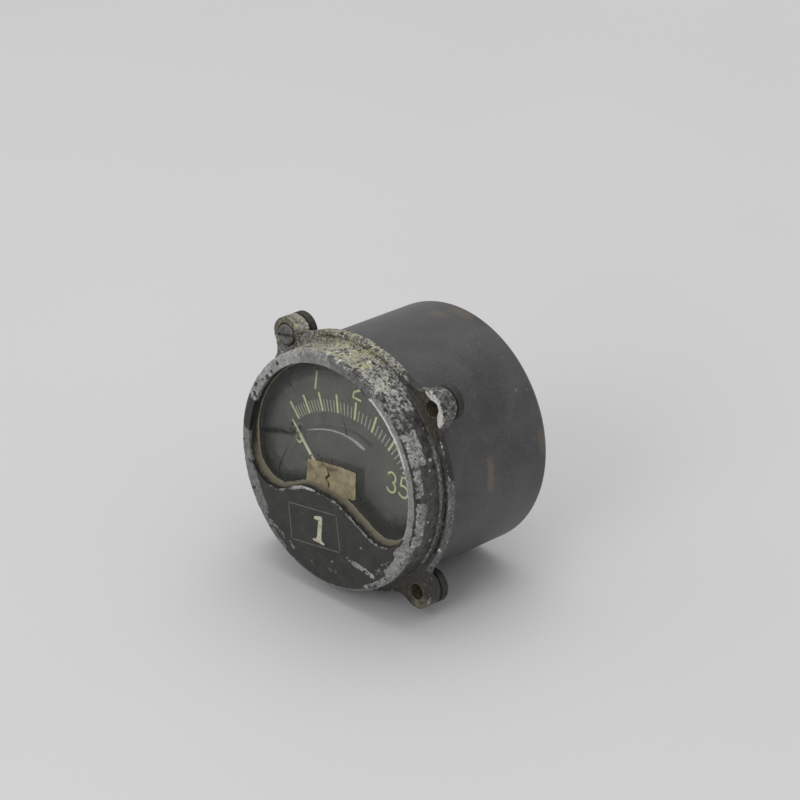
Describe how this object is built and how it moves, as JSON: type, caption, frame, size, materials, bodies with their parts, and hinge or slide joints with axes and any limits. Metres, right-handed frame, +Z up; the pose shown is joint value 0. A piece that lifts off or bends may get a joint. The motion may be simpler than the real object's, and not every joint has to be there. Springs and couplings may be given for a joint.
{
  "type": "cylinder head temperature gauge",
  "caption": "Round panel gauge with a kidney-shaped window, fan scale, moving-coil movement, lugged bezel casting, drawn case and rear terminals.",
  "frame": {"origin": "centre of the panel hole, in the plane of the lugs' front faces", "axes": "+Z up on the dial, -Y out of the dial towards the reader, +X to the reader's right"},
  "size_m": [0.076, 0.0649, 0.076],
  "materials": {
    "bezel_paint": "black paint chipped to grey corroded aluminium",
    "case_paint": "satin dark paint, worn at the rear edge",
    "cover_glass": "cracked glass",
    "gasket_rubber": "matt",
    "plated_steel": "dull plated",
    "label_paper": "aged brown paper",
    "dial_paint": "matt black with luminous marks",
    "brass": "dull brass",
    "aluminium": "plain",
    "magnet_steel": "ground steel",
    "soft_iron": "machined",
    "copper_wire": "enamelled wire",
    "pointer_paint": "luminous cream paint",
    "spring_bronze": "bright",
    "bakelite": "dark brown moulded",
    "fibre": "pressed fibre",
    "dark_steel": "blackened steel with rust"
  },
  "bodies": {
    "case": {"bezel_casting": "bezel_paint", "cover_glass": "cover_glass", "glass_gasket": "gasket_rubber", "glass_ring": "plated_steel", "paper_label": "label_paper", "dial_plate": "dial_paint", "dial_screws": "plated_steel", "dial_pillars": "brass", "pointer_stops": "brass", "movement_plate": "aluminium", "movement_screws": "plated_steel", "magnet": "magnet_steel", "pole_piece_left": "soft_iron", "pole_piece_right": "soft_iron", "magnet_screws": "plated_steel", "core": "soft_iron", "core_spacers": "brass", "front_bridge": "brass", "rear_bridge": "brass", "bridge_pillars": "brass", "bridge_screws": "plated_steel", "front_jewel_screw": "brass", "rear_jewel_screw": "brass", "front_hairspring": "spring_bronze", "spring_anchor": "brass", "zero_bush": "brass", "bush_nut": "brass", "resistor_bobbin": "bakelite", "resistor_winding": "copper_wire", "case_gasket": "gasket_rubber", "case_cup": "case_paint", "case_posts": "brass", "case_screws": "plated_steel", "terminal_block": "bakelite", "terminal_insulators": "fibre", "terminal_stud_positive": "brass", "terminal_stud_negative": "plated_steel", "terminal_washers": "brass", "terminal_nuts": "brass", "lead_straps": "copper_wire", "tag_boards": "fibre", "lug_nuts": "dark_steel", "lug_screw": "plated_steel"},
    "pointer_group": {"moving_coil": "copper_wire", "front_pivot": "plated_steel", "rear_pivot": "plated_steel", "pointer": "pointer_paint", "balance_weights": "brass"},
    "zero_spindle": {"zero_screw": "plated_steel"},
    "zero_arm_group": {"zero_arm": "aluminium", "bimetal_spiral": "spring_bronze", "rear_hairspring": "spring_bronze"}
  },
  "joints": [
    {"name": "pointer_swing", "type": "hinge", "parent": "case", "child": "pointer_group", "pos_m": [0, 0.012, -0.0152], "axis": [0, 1, 0], "range_deg": [0, 93.5], "stiffness_Nm_per_rad": 0.00002, "springref_deg": -34.38},
    {"name": "zero_screw_turn", "type": "hinge", "parent": "case", "child": "zero_spindle", "pos_m": [0, 0.035, -0.0037], "axis": [0, 1, 0], "range_deg": [-40, 40]},
    {"name": "zero_arm_swing", "type": "hinge", "parent": "case", "child": "zero_arm_group", "pos_m": [0, 0.0225, -0.0152], "axis": [0, 1, 0], "range_deg": [-3.6, 3.6]}
  ],
  "couplings": [
    {"joint": "zero_arm_swing", "follows": "zero_screw_turn", "ratio": 0.0888}
  ]
}
